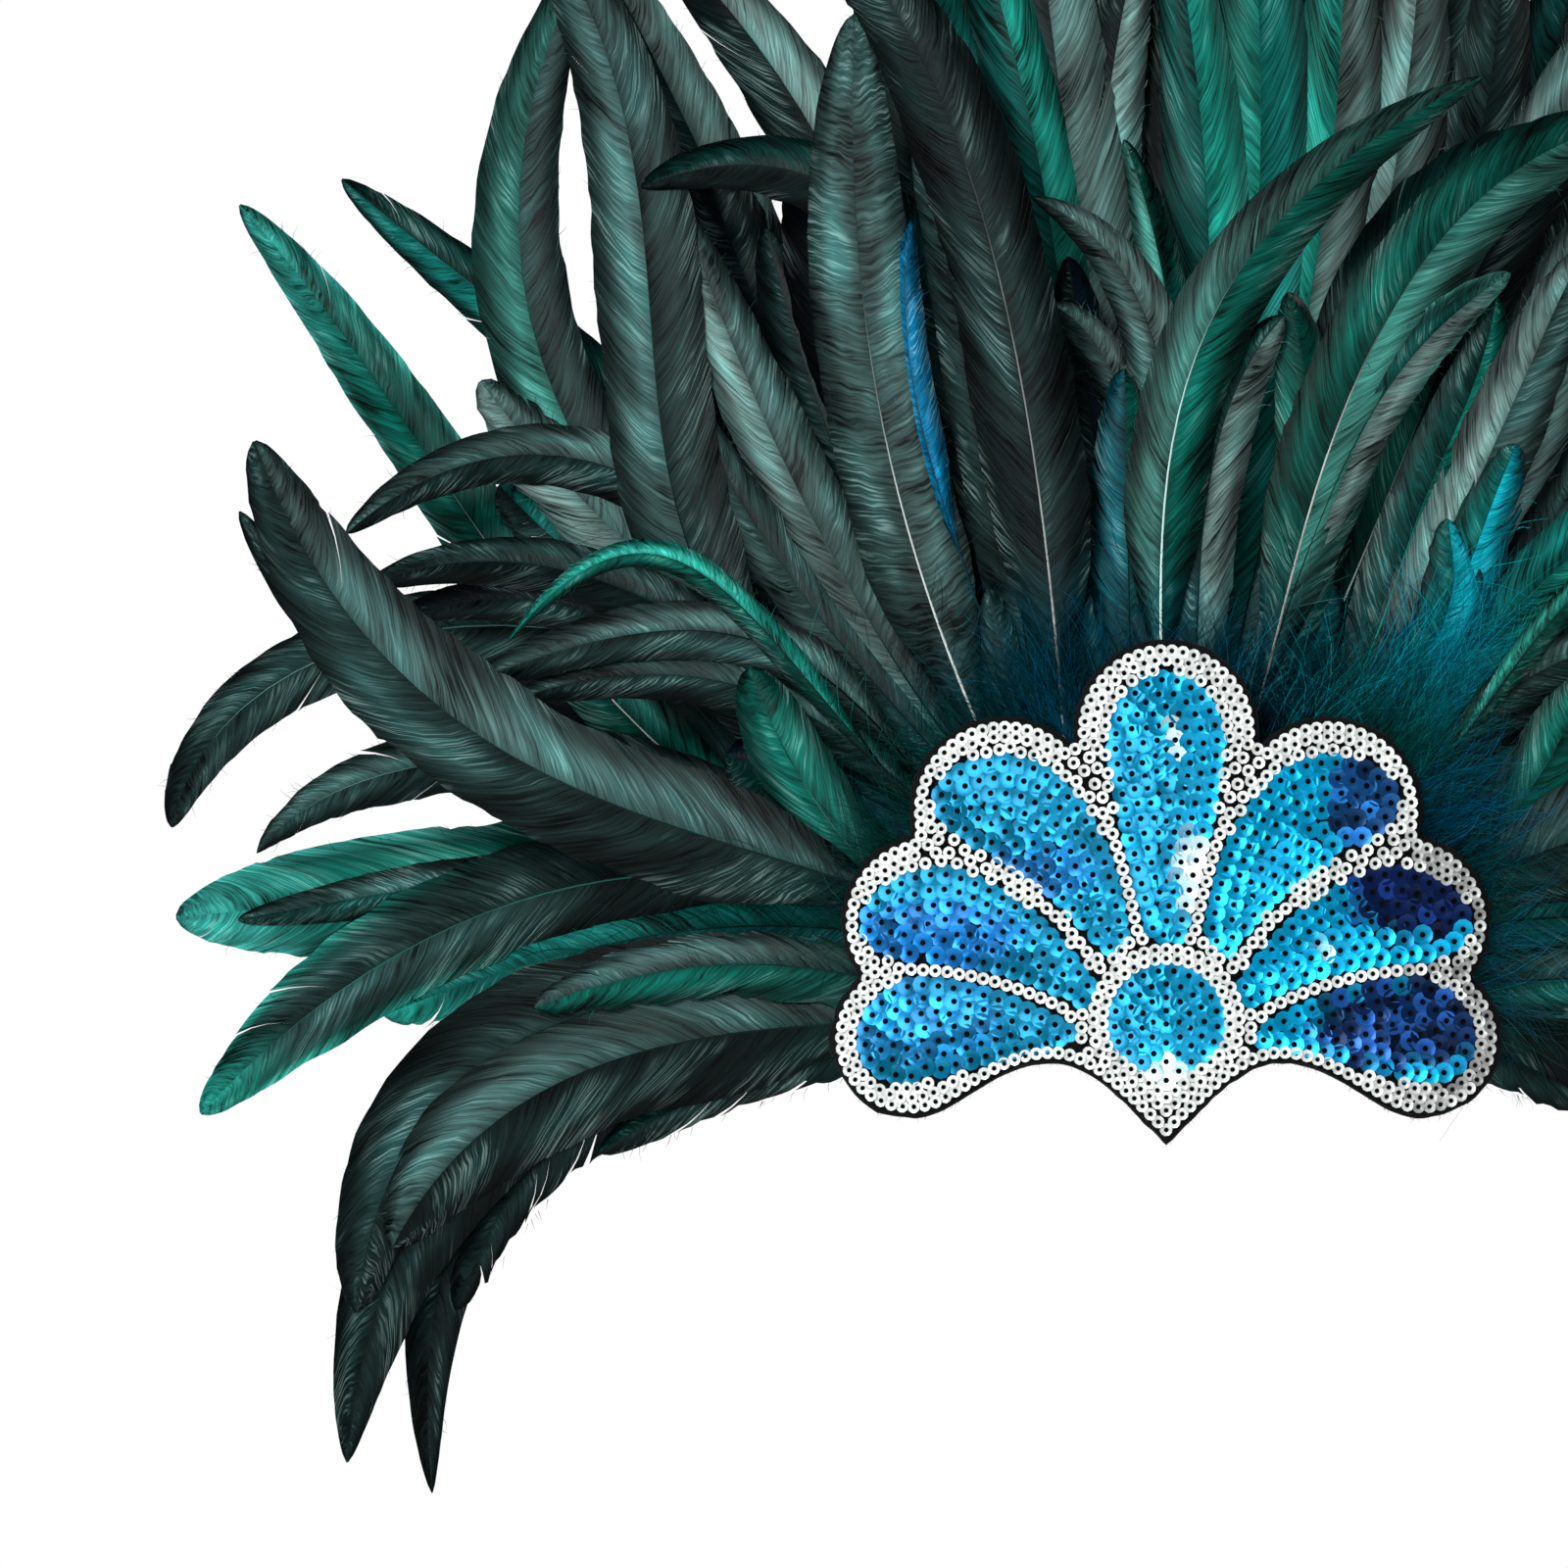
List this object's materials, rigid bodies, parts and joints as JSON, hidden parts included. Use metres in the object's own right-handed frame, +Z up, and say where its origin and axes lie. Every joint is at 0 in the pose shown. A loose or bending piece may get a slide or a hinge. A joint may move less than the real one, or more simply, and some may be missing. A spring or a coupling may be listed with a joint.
{
  "type": "feather headdress",
  "caption": "Fan-shaped headdress of rooster tail feathers in layered bunches on an elastic head band, with a sequinned palmette applique on black felt at the brow.",
  "frame": {"origin": "middle of the head opening, at the height of the head band's lower rim", "axes": "+Z up as worn; the wearer faces -Y, so +X is to the wearer's left"},
  "size_m": [0.455, 0.2177, 0.376],
  "materials": {
    "elastic": "ribbed black woven elastic",
    "feather_dark": "black-green feather vane with a grey sheen",
    "feather_teal": "teal-dyed feather vane with a soft sheen",
    "felt": "matte black felt",
    "white_sequins": "pearl white cupped sequins",
    "blue_sequins": "bright azure foil sequins"
  },
  "bodies": {
    "root": {"head_band": "elastic", "plume_crown_back": "feather_dark", "plume_right_back": "feather_teal", "plume_left_back": "feather_teal", "plume_crown_mid": "feather_dark", "plume_right_mid": "feather_teal", "plume_left_mid": "feather_teal", "plume_crown_front": "feather_dark", "plume_right_droop": "feather_dark", "plume_left_droop": "feather_dark", "plume_right_front": "feather_dark", "plume_left_front": "feather_dark", "felt_backing": "felt", "sequin_trim": "white_sequins", "petal_top": "blue_sequins", "centre_drop": "blue_sequins", "petal_upper_left": "blue_sequins", "petal_upper_right": "blue_sequins", "petal_middle_left": "blue_sequins", "petal_middle_right": "blue_sequins", "petal_lower_left": "blue_sequins", "petal_lower_right": "blue_sequins"}
  },
  "joints": []
}
